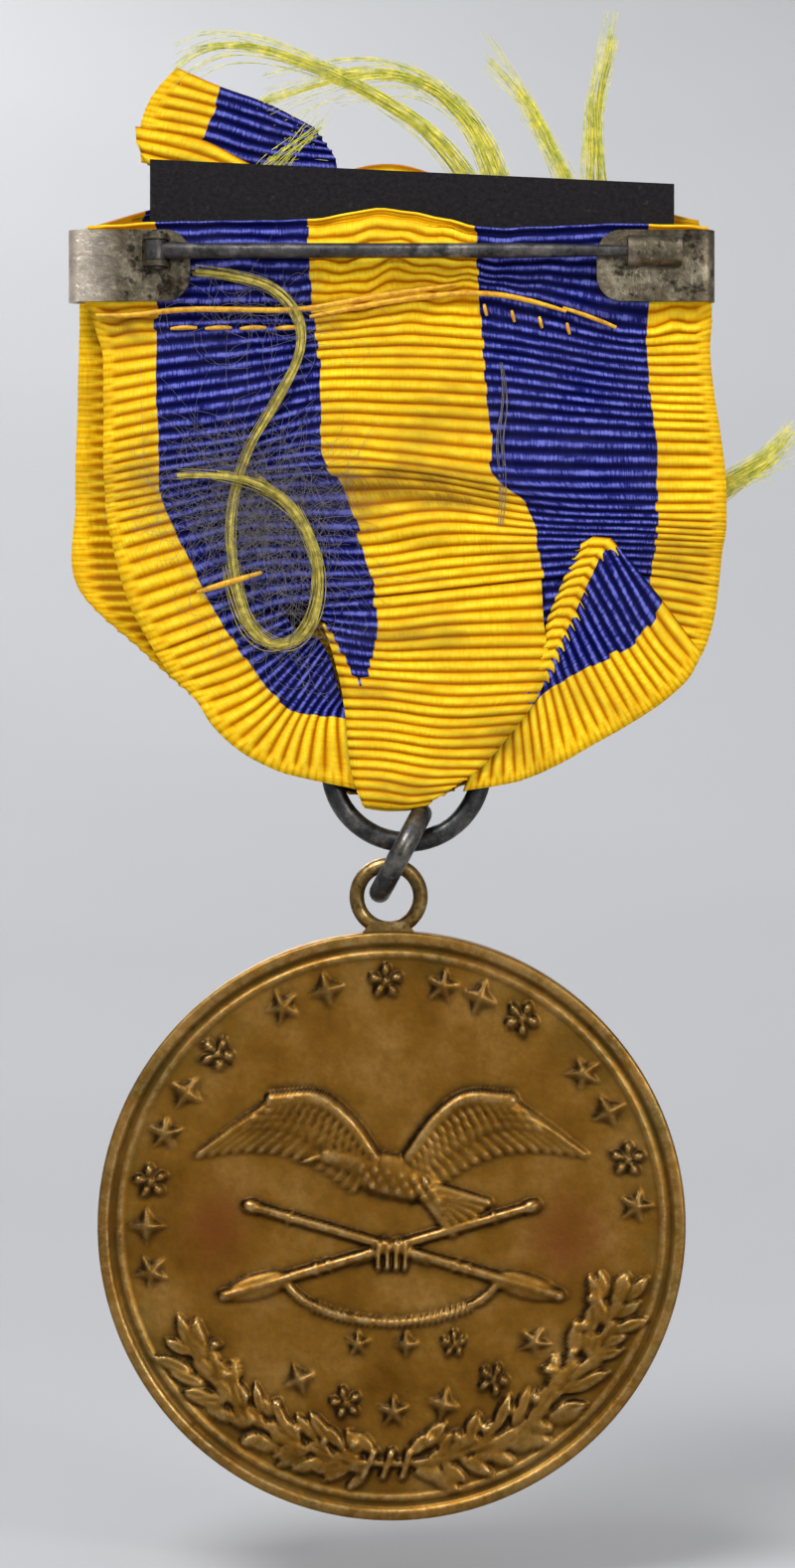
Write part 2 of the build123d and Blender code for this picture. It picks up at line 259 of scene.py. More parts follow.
def bronze_material():
    """Struck bronze: brown field, dark patina beside the relief with painted shade on its up-left slopes,
    rubbed bright edges, red blotches.
    """
    shader = Shader("bronze", Metallic=1.0)
    blotch = shader.noise(260, detail=5, roughness=0.6)
    fine = shader.noise(2200, detail=5, roughness=0.65)
    browns = [(0.3, (0.14, 0.055, 0.004)), (0.7, (0.36, 0.19, 0.045)), (0.5, (0.25, 0.115, 0.014))]
    grain = shader.level(fine, 0.35, 0.7, 0.0, 0.5)
    field = shader.mix(grain, shader.ramp(blotch, browns), (0.16, 0.082, 0.018))
    red = shader.times(shader.attribute("rust"), shader.level(blotch, 0.25, 0.65))
    field = shader.mix(red, field, (0.17, 0.035, 0.012))
    green = shader.times(shader.attribute("edge"), shader.level(shader.noise(500, detail=4), 0.45, 0.7))
    field = shader.mix(shader.times(green, 0.5), field, (0.1, 0.085, 0.02))
    # One attribute darkens the field: patina in the hollows beside the relief, and painted shade on the
    # relief's up-left slopes.
    patchy = shader.level(fine, 0.2, 0.6, 0.75, 1.0)
    patina_and_slope_shade = shader.times(shader.attribute("patina_and_slope_shade"), patchy, clamp=True)
    field = shader.mix(patina_and_slope_shade, field, (0.022, 0.012, 0.005))
    glints = shader.noise(1500, detail=3, roughness=0.7)
    wear = shader.times(shader.attribute("wear"), shader.level(glints, 0.4, 0.62, 0.12, 1.0), clamp=True)
    color = shader.mix(wear, field, (0.60, 0.42, 0.18))
    uneven = shader.blend(glints, 0.6, fine, 0.4)
    return shader.finish(color, shader.level(wear, 0.0, 1.0, 0.46, 0.28), shader.bump(uneven, 0.045))


def ribbon_material():
    """Ribbed silk: gold and navy stripes, painted shade between the ribs and painted highlights on their
    crowns, with the warp's fine yarns over them.
    """
    shader = Shader("ribbon", Specular_IOR_Level=0.04)
    weave = shader.node("UVMap", uv_map="weave").outputs[0]
    parts = shader.node("SeparateXYZ")
    shader.feed(parts.inputs[0], weave)
    turns = shader.times(parts.outputs[1], math.pi)
    crown_shape_and_light = shader.math("ABSOLUTE", shader.math("SINE", turns))
    fine_crown_shape_and_light = shader.math("ABSOLUTE", shader.math("SINE", shader.times(turns, 2.0)))
    fine_crown_shape_and_light = shader.level(fine_crown_shape_and_light, 0.0, 1.0, 0.45, 0.85)
    crown_shape_and_light = shader.level(shader.attribute("selvage"), 0.0, 1.0, crown_shape_and_light, fine_crown_shape_and_light)
    yarn = shader.noise(1.0, detail=2, vector=weave, stretch=(9.0, 0.9, 1.0))
    slack = shader.noise(1.0, detail=2, vector=weave, stretch=(0.9, 1.7, 1.0))
    streak = shader.noise(1.0, detail=3, vector=weave, stretch=(0.5, 1.0, 1.0))
    # Painted light on the ribs: their crowns are painted bright as highlights and the valleys between them
    # dark as shade, through the ramps below.
    tone = shader.times(crown_shape_and_light, shader.level(yarn, 0.3, 0.7, 0.76, 1.1))
    tone = shader.times(tone, shader.level(slack, 0.3, 0.7, 0.8, 1.1))
    golds_shade_to_highlight = [(0.15, (0.40, 0.13, 0.0)), (0.95, (1.0, 0.76, 0.035)), (0.5, (0.84, 0.43, 0.001))]
    blues_shade_to_highlight = [(0.3, (0.0, 0.001, 0.034)), (1.0, (0.145, 0.16, 0.56)), (0.72, (0.010, 0.012, 0.13))]
    gold = shader.mix(shader.level(streak, 0.4, 0.8, 0.0, 0.4), shader.ramp(tone, golds_shade_to_highlight), (0.60, 0.24, 0.001))
    # Soil darkens the gold to brown and greys the navy: stains, and painted shade along the cross crease.
    soil = shader.times(shader.attribute("soil"), shader.level(yarn, 0.2, 0.6, 0.5, 1.0))
    gold = shader.mix(soil, gold, (0.20, 0.09, 0.012))
    navy = shader.mix(shader.times(soil, 0.5), shader.ramp(tone, blues_shade_to_highlight), (0.05, 0.045, 0.07))
    color = shader.mix(shader.level(shader.attribute("stripe"), -0.03, 0.03), navy, gold)
    return shader.finish(color, 0.75, shader.bump(shader.blend(yarn, 0.6, crown_shape_and_light, 0.4), 0.05))


def fibre_material(name, dark, bright, rough):
    """Silk fibres, in tones that wander along them."""
    shader = Shader(name, Sheen_Weight=0.1)
    tone = shader.noise(1600, detail=4, roughness=0.7)
    return shader.finish(shader.ramp(tone, [(0.35, dark), (0.65, bright)]), rough)


def felt_material():
    """Black felted strip with a short grey-brown nap."""
    shader = Shader("felt", Sheen_Weight=0.04, Sheen_Roughness=0.6, Specular_IOR_Level=0.15)
    nap = shader.noise(3500, detail=6, roughness=0.75)
    lint = shader.level(shader.noise(1900, detail=5, roughness=0.8), 0.6, 0.72)
    color = shader.ramp(nap, [(0.3, (0.003, 0.0025, 0.0035)), (0.75, (0.022, 0.019, 0.02))])
    color = shader.mix(shader.times(lint, 0.3), color, (0.13, 0.11, 0.08))
    return shader.finish(color, 0.95, shader.bump(nap, 0.12))


BRONZE = bronze_material()
RIBBON = ribbon_material()
FELT = felt_material()
STITCH_THREAD = fibre_material("stitch_thread", (0.5, 0.2, 0.002), (0.9, 0.5, 0.01), 0.5)
FRAY_THREAD = fibre_material("fray_thread", (0.42, 0.46, 0.04), (0.93, 0.82, 0.12), 0.6)
OLD_THREAD = fibre_material("old_thread", (0.24, 0.19, 0.015), (0.66, 0.53, 0.09), 0.75)
HAZE_FIBRE = fibre_material("haze_fibre", (0.09, 0.08, 0.085), (0.22, 0.195, 0.17), 0.8)


for material, nodes in (
    (BAR_METAL, ("brooch_bar", "catch")),
    (PIN_METAL, ("hinge_axle", "pin_stem", "pin_point")),
    (RING_METAL, ("suspension_ring", "connecting_link")),
    (LOOP_METAL, ("medal_loop",)),
    (FELT, ("stiffener_strip",)),
):
    for node in nodes:
        node_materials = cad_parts[node].data.materials
        node_materials.clear()
        node_materials.append(material)


# ---------------------------------------------------------------- ribbon

RIB_PITCH = 0.63
RIB_ROWS = 6
RIB_DEPTH = 0.15
COLUMN_WIDTH = 0.46
CLOTH_THICKNESS = 0.2
UNSTRIPED = 5.0
SELVAGE_WIDTH = 0.8


def drape(dense):
    """Moves the panel's points (in place) into its gathers, its stitched groove and its creases."""
    x, z = dense[..., 0].copy(), dense[..., 2].copy()
    middle = hump(x - 0.4, 4.5)
    gathered = hump(z + 0.9, 2.6)
    waves = np.sin(0.62 * x + 1.0) + 0.6 * np.sin(1.45 * x + 0.5 * z + 2.0) + 0.4 * np.sin(2.9 * x - 1.2 * z)
    dense[..., 2] += 0.22 * waves * gathered * (0.35 + middle)
    dense[..., 1] -= 0.10 * np.sin(4.1 * z + 0.9 * np.sin(0.5 * x)) * gathered * middle
    stitched = -3.45 + 1.15 * middle - 0.5 * hump(x - 13.0, 3.0)
    dense[..., 1] += 0.30 * hump(z - stitched, 0.42)
    dense[..., 1] -= 0.14 * hump(z - stitched - 1.1, 0.6)
    crumpled = hump(np.abs(x) - 16.2, 1.7) * hump(z + 3.6, 1.1)
    dense[..., 1] += 0.22 * crumpled * np.sin(3.4 * x + 4.2 * z)
    dense[..., 2] += 0.25 * crumpled * np.sin(2.1 * x)
    # The cross crease half way down, its dip below it, and the fan of small folds under that.
    crease = -12.65 - 0.10 * (x + 4.0)
    reach = hump(np.clip(np.abs(x - 2.0) - 6.5, 0, None), 2.2)
    below = z - crease
    second = below + 2.2 + 0.05 * x
    for height, away, width in (
        (-0.22, below - 0.3, 0.9), (0.26, below + 0.75, 0.5), (-0.10, second, 0.6), (0.12, second + 1.2, 0.5),
    ):
        dense[..., 1] += height * reach * hump(away, width)


class Cloth:
    """One strip of cloth, gathered from patches that share their rib and stripe coordinates."""

    def __init__(self):
        self.points, self.faces, self.uv, self.stripe, self.selvage = [], [], [], [], []
        self.count = 0

    def patch(self, rows, bounds, start_gold=True, towards=-1.0, selvages="", draped=False):
        """Adds a sheet through a net of rows, each a list of (x, y, z) on the same warp lines.

        bounds lists the stripe edges, each a warp line's number or a list of (row, line) places.
        towards is the side in y that the ribs stand out on, selvages names the woven edges, and
        draped adds the gathers and creases of the panel under the pin.
        """
        net = np.array(rows, float)
        row_count, line_count = net.shape[:2]
        row_gap = np.linalg.norm(np.diff(net, axis=0), axis=2).mean(axis=1) / RIB_PITCH
        row_knots = np.concatenate([[0.0], np.cumsum(row_gap)])
        ribs = max(1, round(row_knots[-1]))
        row_knots *= ribs / row_knots[-1]
        along = np.linspace(0, ribs, ribs * RIB_ROWS + 1)
        width = np.linalg.norm(np.diff(net, axis=1), axis=2).mean(axis=0)
        line_knots = np.concatenate([[0.0], np.cumsum(width)])
        steps = [max(1, round(w / COLUMN_WIDTH)) for w in width]
        lines = [np.linspace(*line_knots[i:i + 2], n, endpoint=False) for i, n in enumerate(steps)]
        across = np.concatenate([*lines, line_knots[-1:]])
        dense = hermite(row_knots, net, along)
        dense = hermite(line_knots, dense.transpose(1, 0, 2), across).transpose(1, 0, 2)
        down = np.gradient(dense, axis=0)
        side = np.gradient(dense, axis=1)
        normal = np.cross(side, down)
        normal /= np.linalg.norm(normal, axis=2, keepdims=True) + 1e-12
        if (normal[..., 1].mean() > 0) == (towards < 0):
            normal = -normal
        flat = dense.reshape(-1, 3)[:, [0, 2]]
        wave = 0.10 * lattice_noise(flat, 6.0, 21) + 0.05 * lattice_noise(flat, 2.2, 22)
        dense[..., 1] += wave.reshape(dense.shape[:2])
        if draped:
            drape(dense)
        ridge = round_top(2 * (along % 1.0) - 1)
        rib = np.floor(along).astype(int)
        rng = np.random.default_rng(1000 * (line_count + row_count))
        height = 1 + 0.18 * rng.normal(size=ribs + 2)[rib]
        from_edge = np.full(len(across), UNSTRIPED)
        if "L" in selvages:
            from_edge = np.minimum(from_edge, across)
        if "R" in selvages:
            from_edge = np.minimum(from_edge, line_knots[-1] - across)
        selvage = np.clip((SELVAGE_WIDTH - from_edge) / 0.2 + 0.5, 0, 1)
        rib_height = (ridge * height - 0.5)[:, None] * (1 - 0.5 * selvage)[None, :]
        dense += normal * (RIB_DEPTH * rib_height)[..., None]
        row_total, column_total = dense.shape[:2]
        index = np.arange(row_total * column_total).reshape(row_total, column_total) + self.count
        quads = grid_faces(index.T)
        middle = row_total // 2, column_total // 2
        if np.cross(side[middle], down[middle]) @ normal[middle] < 0:
            quads = quads[:, ::-1]
        rib_middle = np.minimum(rib, ribs - 1) + 0.5
        side_of = np.full((row_total, column_total), 1.0 if start_gold else -1.0)
        nearest = np.full((row_total, column_total), UNSTRIPED)
        for edge in bounds:
            if isinstance(edge, int):
                limit = np.full(row_total, line_knots[edge])
            else:
                at_row = [np.interp(r, range(row_count), row_knots) for r, _ in edge]
                at_line = [np.interp(c, range(line_count), line_knots) + min(c, 0) for _, c in edge]
                limit = np.interp(rib_middle, at_row, at_line)
            jitter = 0.06 * rng.normal(size=ribs + 2)[rib]
            away = across[None, :] - (limit + jitter)[:, None]
            side_of *= np.where(away > 0, -1, 1)
            nearest = np.minimum(nearest, np.abs(away))
        self.points.append(dense.reshape(-1, 3))
        self.faces.append(quads)
        uv = np.stack(np.broadcast_arrays(across[None, :], along[:, None]), axis=-1)
        self.uv.append(uv.reshape(-1, 2))
        self.selvage.append(np.broadcast_to(selvage, (row_total, column_total)).reshape(-1))
        self.stripe.append((side_of * nearest).reshape(-1))
        self.count += row_total * column_total

    def build(self, name):
        points = np.concatenate(self.points)
        faces = np.concatenate(self.faces)
        obj = new_object(
            name, points, faces, RIBBON, stripe=np.concatenate(self.stripe),
            selvage=np.concatenate(self.selvage), soil=soiling(points),
        )
        uv = np.concatenate(self.uv)[faces.reshape(-1)]
        layer = obj.data.uv_layers.new(name="weave")
        layer.data.foreach_set("uv", uv.astype(np.float32).ravel())
        solid = obj.modifiers.new("thickness", "SOLIDIFY")
        solid.thickness = CLOTH_THICKNESS * MM
        solid.offset = -1.0
        return obj


# The spots along the cross crease, x from -3.6 to 3.5 mm and z from -12.8 to -14.2 mm, paint the crease's
# shade; the others are stains.
SOIL_AND_CREASE_SHADE_SPOTS = (
    # x, z, reach across, reach along, strength
    (1.0, -12.8, 5.0, 0.9, 0.75),
    (2.5, -9.5, 3.5, 2.0, 0.35),
    (-2.0, -14.2, 2.4, 1.2, 0.5),
    (0.5, -21.5, 4.0, 0.7, 0.5),
    (-15.5, -4.2, 3.0, 1.2, 0.4),
    (-13.5, -12.6, 2.4, 1.6, 0.4),
    (16.6, -17.5, 2.0, 2.5, 0.45),
    (-16.8, -20.0, 1.0, 3.0, 0.6),
    (6.2, -26.9, 1.6, 1.8, 0.5),
    (1.0, -30.2, 3.0, 0.9, 0.35),
    (-3.6, -13.6, 1.6, 1.3, 0.6),
    (3.5, -13.9, 2.6, 0.5, 0.55),
    (-1.5, -24.6, 3.5, 0.6, 0.3),
)


def soiling(points):
    soil = 0.12 + 0.12 * lattice_noise(points[:, [0, 2]], 6.0, 5)
    on_pin_side = points[:, 1] < 2.0
    for x, z, across, along, strength in SOIL_AND_CREASE_SHADE_SPOTS:
        reach = ((points[:, 0] - x) / across) ** 2 + ((points[:, 2] - z) / along) ** 2
        soil += strength * np.exp(-reach) * on_pin_side
    return np.clip(soil * (1 + 0.35 * lattice_noise(points, 1.4, 9)), 0, 0.85)


def net(depths, *rows):
    """Rows of places, each written x, z, x, z and so on, with a depth for each row or each place."""
    made = []
    for depth, row in zip(depths, rows):
        places = np.reshape(row, (-1, 2))
        made.append(np.insert(places, 1, depth, axis=1))
    return made


cloth = Cloth()

# The back panel, from its fold over the bar down to where it splits at the pocket.
# Lines: left selvage, gold-blue edge, inside of the blue, centre left, middle, centre right,
# blue-gold edge, right selvage.
LAST_SHARED_ROW = (
    -13.3, -22.45, -9.4, -21.0, -6.1, -19.9, -0.8, -19.3, 3.0, -18.9, 8.4, -18.3, 14.6, -18.1, 18.4, -18.7,
)
back_rows = net(
    (1.42, 1.34, 1.12, (1.12, 1.12, 1.10, 1.05, 0.98, 1.05, 1.12, 1.12), 1.06, 1.16, 1.08, 1.06,
     (1.1, 1.05, 0.95, 0.85, 0.78, 0.85, 0.98, 1.05), (1.12, 1.1, 1.08, 1.12, 1.14, 1.12, 1.08, 1.08),
     (1.2, 1.15, 1.05, 0.92, 0.85, 0.95, 1.1, 1.15), (1.25, 1.2, 1.1, 0.9, 0.8, 0.92, 1.2, 1.2),
     (1.25, 1.2, 1.2, 0.85, 0.78, 0.9, 1.3, 1.3)),
    (-17.1, -0.6, -13.2, -0.5, -8.5, -0.4, -4.7, -0.4, -0.4, -0.3, 4.8, -0.5, 14.4, -0.6, 17.8, -0.6),
    (-17.1, 1.5, -13.2, 1.7, -8.5, 1.75, -4.7, 1.9, -0.4, 2.4, 4.8, 1.5, 14.4, 1.6, 17.8, 1.5),
    (-17.2, 0.8, -13.2, 1.0, -8.5, 1.1, -4.7, 1.15, -0.4, 1.5, 4.8, 0.8, 14.4, 0.9, 17.8, 0.9),
    (-17.2, -1.2, -13.2, -1.2, -8.5, -1.1, -4.6, -1.0, -0.2, -0.9, 4.8, -0.9, 14.4, -1.6, 17.9, -1.4),
    (-17.1, -3.3, -13.2, -3.2, -8.7, -3.2, -4.4, -3.0, 0.3, -2.6, 4.9, -2.2, 14.3, -4.3, 18.0, -3.7),
    (-16.4, -4.9, -13.2, -4.6, -8.7, -4.3, -4.3, -4.1, 0.3, -3.7, 5.0, -3.8, 14.3, -5.4, 17.9, -5.2),
    (-16.2, -8.2, -13.2, -7.6, -8.7, -7.0, -4.1, -6.2, 0.5, -6.1, 5.2, -6.3, 14.5, -7.6, 18.1, -7.7),
    (-16.2, -11.6, -13.1, -11.0, -8.6, -10.4, -4.0, -9.3, 0.5, -9.4, 5.5, -9.7, 14.8, -10.2, 18.5, -10.3),
    (-16.1, -13.6, -13.0, -13.0, -8.5, -12.2, -3.8, -11.6, 0.7, -11.9, 5.8, -12.6, 14.9, -12.8, 18.8, -12.8),
    (-16.0, -14.9, -12.8, -14.2, -8.3, -13.3, -2.9, -12.9, 1.9, -13.0, 7.4, -13.9, 14.9, -14.3, 18.8, -14.3),
    (-15.7, -16.4, -12.2, -15.5, -8.0, -14.7, -2.2, -14.7, 2.5, -14.2, 7.9, -14.9, 14.9, -15.2, 18.8, -15.4),
    (-14.8, -19.6, -10.9, -18.3, -7.2, -17.2, -1.4, -17.2, 2.9, -16.6, 8.2, -16.4, 14.8, -16.5, 18.6, -16.7),
    LAST_SHARED_ROW,
)
cloth.patch(back_rows, (1, 3, 5, 6), selvages="LR", draped=True)

# The left lobe fans round the pocket and runs in behind the wedge.
lobe_rows = net(
    ((1.25, 1.2, 1.2), (1.2, 1.15, 1.35), (1.15, 1.1, 1.4), (1.1, 1.05, 1.3), (1.05, 1.0, 1.2),
     (1.0, 1.0, 1.15), (1.0, 1.0, 1.1), (1.05, 1.1, 1.15), (1.2, 1.25, 1.3)),
    LAST_SHARED_ROW[:6],
    (-12.25, -23.9, -8.4, -22.45, -5.55, -21.0),
    (-11.0, -25.1, -7.55, -23.7, -4.8, -21.4),
    (-10.1, -26.5, -6.9, -24.55, -4.2, -21.6),
    (-8.6, -27.9, -6.1, -25.3, -3.75, -22.2),
    (-6.7, -28.95, -5.2, -25.8, -3.35, -23.1),
    (-4.4, -29.6, -3.9, -26.0, -2.95, -24.6),
    (-2.4, -30.0, -2.8, -26.1, -2.5, -25.2),
    (-0.7, -30.3, -1.0, -26.6, -1.2, -25.6),
)
cloth.patch(lobe_rows, (1,), selvages="L")

# The wedge: the middle of the ribbon, drawn together down to the bend through the ring.
wedge_rows = net(
    ((0.95, 0.88, 0.78, 0.9), (0.85, 0.78, 0.72, 0.85), (0.82, 0.72, 0.68, 0.82), (0.8, 0.68, 0.64, 0.8),
     (0.78, 0.66, 0.6, 0.78), (0.75, 0.62, 0.58, 0.75), (0.72, 0.62, 0.6, 0.74), (0.85, 0.8, 0.8, 0.88),
     (1.5, 1.45, 1.45, 1.5), (2.6, 2.6, 2.6, 2.6), (2.95, 2.95, 2.95, 2.95)),
    (-4.7, -19.65, -0.8, -19.3, 3.0, -18.9, 8.4, -18.3),
    (-3.85, -20.9, -0.8, -21.4, 3.0, -21.1, 8.55, -20.9),
    (-3.2, -22.9, -0.8, -23.2, 3.1, -23.3, 8.8, -23.2),
    (-2.8, -24.6, -0.5, -24.7, 3.1, -25.1, 8.2, -24.9),
    (-2.55, -26.4, -0.3, -26.5, 2.6, -26.9, 6.9, -26.7),
    (-2.4, -28.2, -0.4, -28.3, 2.1, -28.7, 5.1, -28.8),
    (-2.05, -29.9, -0.6, -30.0, 1.1, -30.3, 3.3, -30.1),
    (-1.65, -30.9, -0.6, -31.0, 0.7, -31.1, 2.1, -30.9),
    (-1.5, -31.1, -0.5, -31.25, 0.7, -31.25, 1.9, -31.1),
    (-1.5, -30.9, -0.5, -31.0, 0.7, -31.0, 1.9, -30.9),
    (-2.0, -30.0, -0.6, -30.1, 0.9, -30.1, 2.4, -30.0),
)
left_edge = [(0, -1.0), (1, 0.05), (3, 0.52), (3.05, -9.0)]
right_edge = [(0, 1.0), (1, 1.0), (2, 0.85), (3, 0.53), (3.05, -9.0)]
cloth.patch(wedge_rows, (left_edge, right_edge))

# The right side of the back panel runs on behind the flap.
right_rows = net(
    (1.3, 1.3, 1.35, 1.4),
    (7.6, -18.3, 11.5, -18.1, 14.6, -18.1, 18.4, -18.7),
    (7.8, -20.4, 11.5, -20.0, 14.5, -20.0, 18.1, -20.6),
    (8.0, -22.4, 11.5, -22.0, 14.3, -21.9, 17.5, -22.4),
    (8.0, -24.0, 11.3, -23.8, 13.9, -23.8, 16.4, -24.0),
)
cloth.patch(right_rows, (2,), start_gold=False, selvages="R")

# The flap: the ribbon's right edge folded up over it.
flap_rows = net(
    (1.1, 1.0, (0.95, 0.92, 0.9), (0.92, 0.9, 0.85), (0.9, 0.88, 0.82), (0.9, 0.88, 0.8), (0.92, 0.9, 0.8),
     (1.0, 0.98, 0.9)),
    (4.0, -30.2, 4.7, -28.2, 5.2, -27.3),
    (6.9, -29.7, 6.7, -26.8, 6.5, -25.8),
    (9.2, -28.8, 8.5, -24.8, 8.2, -23.9),
    (11.5, -27.5, 9.95, -23.9, 9.3, -22.2),
    (13.6, -26.3, 11.7, -22.9, 10.3, -20.2),
    (15.5, -25.0, 13.4, -22.0, 11.2, -18.2),
    (16.8, -23.7, 14.5, -20.9, 12.1, -16.6),
    (17.4, -22.5, 15.3, -19.6, 12.9, -16.6),
)
cloth.patch(flap_rows, (1,), selvages="L")

# The rolled fold along the flap's upper left side shows a strip of gold.
roll_rows = net(
    ((1.1, 0.8, 0.78, 0.95),) * 6,
    (10.4, -16.4, 11.3, -15.9, 12.3, -16.0, 12.9, -16.8),
    (10.0, -17.6, 10.6, -17.3, 11.3, -17.2, 11.9, -17.8),
    (9.3, -19.2, 9.8, -18.9, 10.5, -18.8, 11.1, -19.4),
    (8.7, -20.8, 9.2, -20.5, 9.8, -20.5, 10.4, -21.0),
    (8.3, -22.4, 8.7, -22.2, 9.2, -22.1, 9.6, -22.5),
    (8.0, -24.2, 8.2, -24.1, 8.5, -24.0, 8.8, -24.2),
)
cloth.patch(roll_rows, ())

# The front panel on the show side, cut to a V where its edges fold back, and its torn upper edge.
front_rows = net(
    (2.95,) * 9,
    (-17.4, 1.6, -14.0, 2.6, -4.7, 4.4, 0.0, 5.3, 4.7, 4.0, 13.9, 2.9, 17.4, 2.1),
    (-17.6, 0.0, -14.0, 0.0, -4.7, 0.0, 0.0, 0.2, 4.7, 0.0, 13.9, 0.0, 17.6, 0.0),
    (-17.7, -6.0, -13.9, -6.0, -4.7, -6.0, 0.0, -6.0, 4.7, -6.0, 13.9, -6.0, 17.6, -6.0),
    (-17.9, -14.0, -13.9, -14.0, -4.7, -14.0, 0.0, -14.0, 4.7, -14.0, 13.9, -14.0, 18.0, -14.0),
    (-17.7, -18.8, -13.8, -18.8, -4.7, -18.8, 0.0, -18.8, 4.7, -18.8, 13.9, -18.8, 17.9, -18.8),
    (-14.2, -22.2, -12.0, -22.2, -4.6, -22.2, 0.0, -22.2, 4.7, -22.2, 12.6, -22.2, 15.6, -22.2),
    (-10.8, -25.2, -9.0, -25.2, -4.4, -25.2, 0.0, -25.2, 4.7, -25.2, 9.5, -25.2, 12.0, -25.2),
    (-7.0, -28.0, -6.0, -28.0, -4.0, -28.0, 0.2, -28.0, 4.2, -28.0, 6.4, -28.0, 7.4, -28.0),
    (-2.4, -30.4, -2.0, -30.4, -1.4, -30.5, 0.2, -30.6, 2.0, -30.5, 2.6, -30.4, 3.0, -30.4),
)
cloth.patch(front_rows, (1, 2, 4, 5), towards=1.0, selvages="LR")

# The torn tail behind the strip, in two folds of gold and a piece of blue.
tail_rows = net(
    ((3.0, 2.95, 2.9, 2.9),) * 4,
    (-12.2, 10.8, -9.7, 9.7, -7.2, 8.8, -4.4, 7.4),
    (-13.5, 9.3, -10.0, 8.5, -7.2, 7.6, -3.9, 6.6),
    (-14.2, 7.6, -10.6, 6.9, -7.6, 6.0, -3.2, 5.6),
    (-14.2, 5.4, -10.8, 4.8, -8.0, 4.2, -3.0, 3.4),
)
cloth.patch(tail_rows, (1,), selvages="L")
hem_rows = net(
    ((2.7, 2.7, 2.72),) * 3,
    (-14.5, 7.4, -10.9, 6.7, -8.0, 5.3),
    (-14.4, 6.4, -11.5, 5.7, -8.6, 4.7),
    (-13.8, 5.2, -11.9, 4.7, -9.0, 4.0),
)
cloth.patch(hem_rows, ())

ribbon = cloth.build("ribbon")
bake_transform(ribbon)
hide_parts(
    "ribbon_back", "ribbon_front", "ribbon_tail", "ribbon_turn_in",
    "ribbon_fold_back", "ribbon_fold_front", "ribbon_fold_bend",
)


# ---------------------------------------------------------------- threads

def threads(name, strands, radius_mm, material, taper=True):
    """One curve object of many filaments; strands is a list of lists of (x, y, z) in millimetres."""
    curve = bpy.data.curves.new(name, "CURVE")
    curve.dimensions = "3D"
    curve.bevel_depth = radius_mm * MM
    curve.bevel_resolution = 1
    curve.resolution_u = 5
    curve.use_fill_caps = True
    for strand in strands:
        spline = curve.splines.new("NURBS")
        spline.points.add(len(strand) - 1)
        for k, (x, y, z) in enumerate(strand):
            spline.points[k].co = (x * MM, y * MM, z * MM, 1.0)
            at_end = taper and k in (0, len(strand) - 1)
            spline.points[k].radius = 0.6 if at_end else 1.0
        spline.order_u = 3
        spline.use_endpoint_u = True
    curve.materials.append(material)
    obj = in_scene(name, curve)
    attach(obj, "mounting")
    return obj


def bundle(route, count, spread, seed, flow=0.0):
    """Filaments along one route that cross each other; flow thins and loosens them to the free end."""
    rng = random.Random(seed)
    made = []
    last = len(route) - 1
    for _ in range(count):
        near = [max(-1.6, min(1.6, rng.gauss(0, 1))) for _ in range(3)]
        far = [0.45 * n + rng.gauss(0, 0.7) for n in near]
        stray = max(-2.2, min(1.4, rng.gauss(0, 1) ** 3 * 0.35)) * flow
        kept = max(3, math.ceil((1 - flow * 0.75 * rng.random() ** 1.5) * len(route)))
        strand = []
        for k, (x, y, z) in enumerate(route[:kept]):
            share = k / last
            away = [n + (f - n) * share for n, f in zip(near, far)]
            part = spread * (1 - 0.45 * flow * share)
            strand.append((
                x + away[0] * part + rng.gauss(0, 0.07),
                y + away[1] * part * 0.35,
                z + away[2] * part * 0.7 + stray * share ** 2 + rng.gauss(0, 0.07),
            ))
        made.append(strand)
    return made


FILAMENT_RADIUS = 0.02
HAZE_RADIUS = 0.008
LOOSE_STRAND_RADIUS = 0.107
FRAYS = (
    # name, depth, filaments, spread and the route's x, z places
    ("fray_arc", 2.95, 75, 0.42,
     ((4.6, 3.8), (3.2, 6.2), (0.4, 8.4), (-3.6, 10.6), (-8.4, 12.3), (-11.2, 11.8), (-12.3, 10.8))),
    ("fray_centre", 2.95, 110, 0.46,
     ((6.2, 3.4), (5.6, 6.0), (3.6, 8.9), (0.4, 10.6), (-3.2, 10.3), (-7.4, 8.8))),
    ("fray_right", 2.95, 90, 0.46, ((11.5, 3.2), (11.4, 6.0), (11.5, 9.0), (12.5, 12.6))),
    ("fray_leaning", 2.95, 60, 0.42, ((10.4, 3.2), (9.0, 6.4), (7.4, 9.2), (5.4, 11.2))),
    ("fray_side", 3.1, 120, 0.55, ((17.6, -13.8), (19.6, -12.4), (21.4, -11.4), (22.7, -9.8))),
)
for seed, (name, depth, count, spread, route) in enumerate(FRAYS):
    filaments = bundle([(x, depth, z) for x, z in route], count, spread, seed, 1.0)
    fray = threads(name + "_threads", filaments, FILAMENT_RADIUS, FRAY_THREAD)
    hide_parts(name)

# A tuft of loose filaments beside the torn tail.
tuft_route = [(-7.2, 2.95, 4.6), (-6.3, 2.9, 5.6), (-5.2, 2.9, 6.5), (-4.0, 2.95, 7.3)]
tuft = threads("tuft_filaments", bundle(tuft_route, 50, 0.5, 41, 1.0), FILAMENT_RADIUS, FRAY_THREAD)

